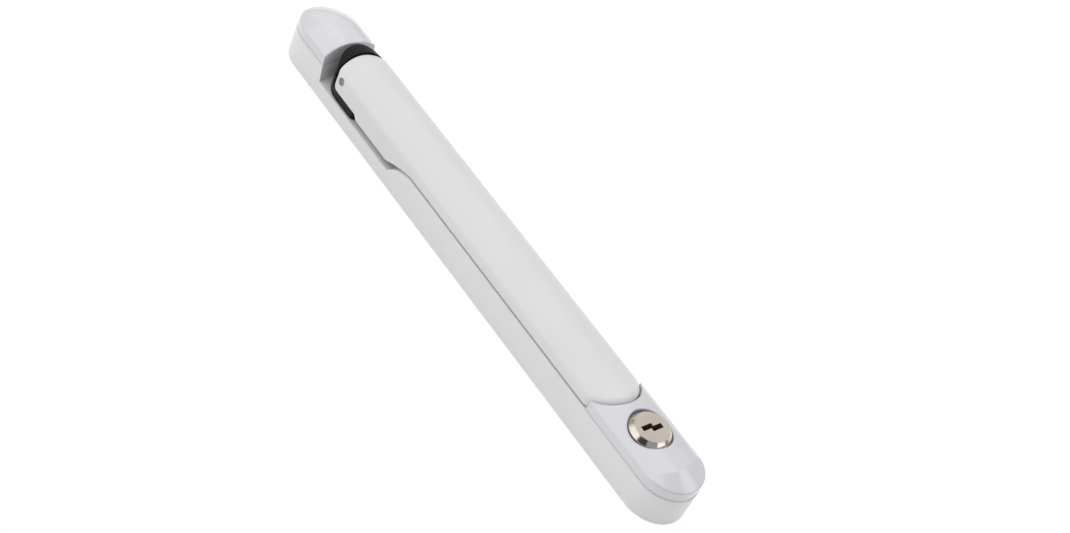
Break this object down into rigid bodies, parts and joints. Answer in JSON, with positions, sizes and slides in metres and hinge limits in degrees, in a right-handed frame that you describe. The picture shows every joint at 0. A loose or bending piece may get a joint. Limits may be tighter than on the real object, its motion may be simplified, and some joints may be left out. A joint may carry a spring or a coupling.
{
  "type": "inline espagnolette handle",
  "caption": "Slim inline espagnolette handle: long rounded base, fold-out lever on a turning black cradle with a square socket, and a keyed lock that holds the lever's tip.",
  "frame": {"origin": "on the spindle axis, in the plane of the back face that lies on the door or window frame", "axes": "+Z away from the door along the spindle axis, +Y along the base towards the pivot end, +X across the base"},
  "size_m": [0.022, 0.2173, 0.0189],
  "materials": {
    "gloss_white": "gloss powder coat",
    "satin_white": "satin powder coat",
    "black_moulding": "satin glass-filled nylon",
    "steel": "zinc plated",
    "pin_steel": "turned",
    "nickel": "polished nickel",
    "bronze": "sintered"
  },
  "bodies": {
    "base": {"base": "gloss_white", "nose_cap": "gloss_white", "lock_cap": "gloss_white", "nose_cap_screw": "steel", "lock_cap_screw": "steel", "thrust_washer": "steel"},
    "rotor": {"rotor": "black_moulding", "drive_hub": "steel", "pivot_bush": "bronze", "disc_spring": "steel", "hub_clip": "steel"},
    "lever": {"lever": "satin_white", "pivot_pin": "pin_steel", "pivot_shim_left": "steel", "pivot_shim_right": "steel"},
    "barrel": {"lock_barrel": "nickel", "barrel_clip": "steel", "lock_washer": "steel"},
    "plate": {"lock_plate": "steel"}
  },
  "joints": [
    {"name": "rotor_turn", "type": "hinge", "parent": "base", "child": "rotor", "pos_m": [0, 0, 0], "axis": [0, 0, 1], "range_deg": [0, 90]},
    {"name": "lever_fold", "type": "hinge", "parent": "rotor", "child": "lever", "pos_m": [0, 0, 0.0134], "axis": [-1, 0, 0], "range_deg": [0, 60]},
    {"name": "lock_turn", "type": "hinge", "parent": "base", "child": "barrel", "pos_m": [0, -0.159, 0], "axis": [0, 0, 1], "range_deg": [0, 90]},
    {"name": "plate_slide", "type": "slide", "parent": "base", "child": "plate", "axis": [0, 1, 0], "range_m": [0, 0.00256]}
  ],
  "couplings": [
    {"joint": "rotor_turn", "follows": "lever_fold", "ratio": 1.5},
    {"joint": "plate_slide", "follows": "lock_turn", "m_per_rad": 0.0016206}
  ]
}
